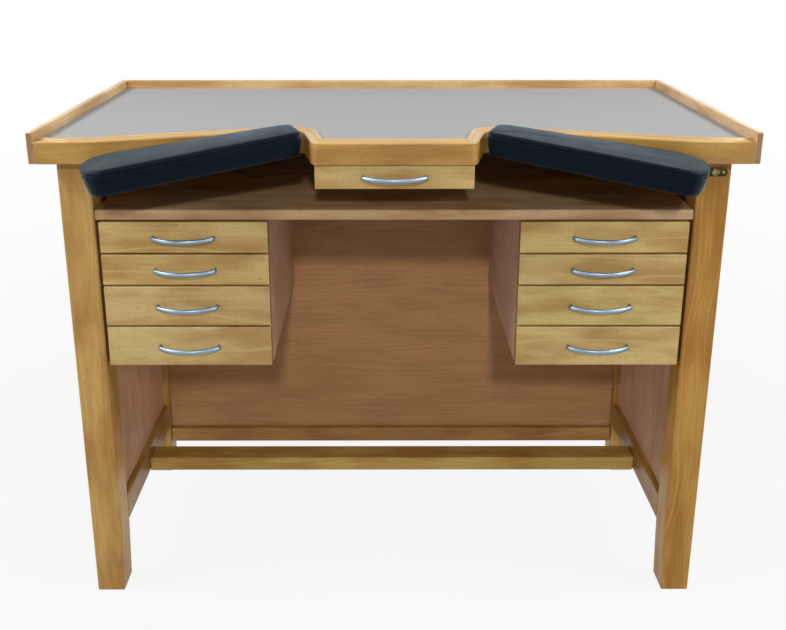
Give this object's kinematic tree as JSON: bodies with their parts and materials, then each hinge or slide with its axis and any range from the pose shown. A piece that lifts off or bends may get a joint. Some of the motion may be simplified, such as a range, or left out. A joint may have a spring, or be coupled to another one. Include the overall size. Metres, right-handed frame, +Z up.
{
  "type": "watchmakers bench",
  "caption": "Beech watchmaker's bench: raised-edge top with a shaped front, tilting padded armrests, hanging pedestals of drawers, a small drawer under the nose and a shelf.",
  "frame": {"origin": "On the floor, under the middle of the bench's outline.", "axes": "+X runs across the bench to the seated user's right, -Y is the user's side, +Z is up."},
  "size_m": [1.2, 0.7217, 0.9],
  "materials": {
    "beech": "clear lacquered solid beech, satin",
    "beech_veneer": "lacquered beech veneer on board, fine flecked grain",
    "birch_plywood": "sanded plywood",
    "linoleum": "smooth matt grey furniture linoleum",
    "leatherette": "black padded leatherette with a sewn seam",
    "satin_aluminium": "satin anodised",
    "blackened_steel": "blackened, low gloss",
    "brass": "dull aged brass"
  },
  "bodies": {
    "bench": {"leg_front_left": "beech", "leg_back_left": "beech", "side_rail_left": "beech", "top_rail_left": "beech", "nose_runner_left": "beech", "edge_board_left": "beech", "side_panel_left": "beech_veneer", "pedestal_inner_left": "beech_veneer", "pedestal_outer_left": "beech_veneer", "armrest_bracket_left": "blackened_steel", "leg_front_right": "beech", "leg_back_right": "beech", "side_rail_right": "beech", "top_rail_right": "beech", "nose_runner_right": "beech", "edge_board_right": "beech", "side_panel_right": "beech_veneer", "pedestal_inner_right": "beech_veneer", "pedestal_outer_right": "beech_veneer", "armrest_bracket_right": "blackened_steel", "back_rail": "beech", "foot_rail": "beech", "shelf": "beech", "front_lipping": "beech", "edge_board_back": "beech", "back_panel": "beech_veneer", "top_board": "birch_plywood", "work_surface": "linoleum", "oval_plate": "brass"},
    "armrest_left": {"armrest_pad_left": "leatherette", "armrest_bush_left": "blackened_steel"},
    "drawer_left_1": {"drawer_front_left_1": "beech", "drawer_box_left_1": "birch_plywood", "drawer_handle_left_1": "satin_aluminium"},
    "drawer_left_2": {"drawer_front_left_2": "beech", "drawer_box_left_2": "birch_plywood", "drawer_handle_left_2": "satin_aluminium"},
    "drawer_left_3": {"drawer_front_left_3": "beech", "drawer_box_left_3": "birch_plywood", "drawer_handle_left_3": "satin_aluminium"},
    "drawer_left_4": {"drawer_front_left_4": "beech", "drawer_box_left_4": "birch_plywood", "drawer_handle_left_4": "satin_aluminium"},
    "armrest_right": {"armrest_pad_right": "leatherette", "armrest_bush_right": "blackened_steel"},
    "drawer_right_1": {"drawer_front_right_1": "beech", "drawer_box_right_1": "birch_plywood", "drawer_handle_right_1": "satin_aluminium"},
    "drawer_right_2": {"drawer_front_right_2": "beech", "drawer_box_right_2": "birch_plywood", "drawer_handle_right_2": "satin_aluminium"},
    "drawer_right_3": {"drawer_front_right_3": "beech", "drawer_box_right_3": "birch_plywood", "drawer_handle_right_3": "satin_aluminium"},
    "drawer_right_4": {"drawer_front_right_4": "beech", "drawer_box_right_4": "birch_plywood", "drawer_handle_right_4": "satin_aluminium"},
    "nose_drawer": {"nose_drawer_front": "beech", "nose_drawer_box": "birch_plywood", "nose_drawer_handle": "satin_aluminium"}
  },
  "joints": [
    {"name": "drawer_left_1_slide", "type": "slide", "parent": "bench", "child": "drawer_left_1", "axis": [0, -1, 0], "range_m": [0, 0.29]},
    {"name": "drawer_left_2_slide", "type": "slide", "parent": "bench", "child": "drawer_left_2", "axis": [0, -1, 0], "range_m": [0, 0.29]},
    {"name": "drawer_left_3_slide", "type": "slide", "parent": "bench", "child": "drawer_left_3", "axis": [0, -1, 0], "range_m": [0, 0.29]},
    {"name": "drawer_left_4_slide", "type": "slide", "parent": "bench", "child": "drawer_left_4", "axis": [0, -1, 0], "range_m": [0, 0.29]},
    {"name": "drawer_right_1_slide", "type": "slide", "parent": "bench", "child": "drawer_right_1", "axis": [0, -1, 0], "range_m": [0, 0.29]},
    {"name": "drawer_right_2_slide", "type": "slide", "parent": "bench", "child": "drawer_right_2", "axis": [0, -1, 0], "range_m": [0, 0.29]},
    {"name": "drawer_right_3_slide", "type": "slide", "parent": "bench", "child": "drawer_right_3", "axis": [0, -1, 0], "range_m": [0, 0.29]},
    {"name": "drawer_right_4_slide", "type": "slide", "parent": "bench", "child": "drawer_right_4", "axis": [0, -1, 0], "range_m": [0, 0.29]},
    {"name": "nose_drawer_slide", "type": "slide", "parent": "bench", "child": "nose_drawer", "axis": [0, -1, 0], "range_m": [0, 0.14]},
    {"name": "armrest_left_tilt", "type": "hinge", "parent": "bench", "child": "armrest_left", "pos_m": [-0.32328, -0.24666, 0.827], "axis": [-0.3432, 0.9392, 0], "range_deg": [-6, 3]},
    {"name": "armrest_right_tilt", "type": "hinge", "parent": "bench", "child": "armrest_right", "pos_m": [0.32328, -0.24666, 0.827], "axis": [-0.3432, -0.9392, 0], "range_deg": [-6, 3]}
  ]
}
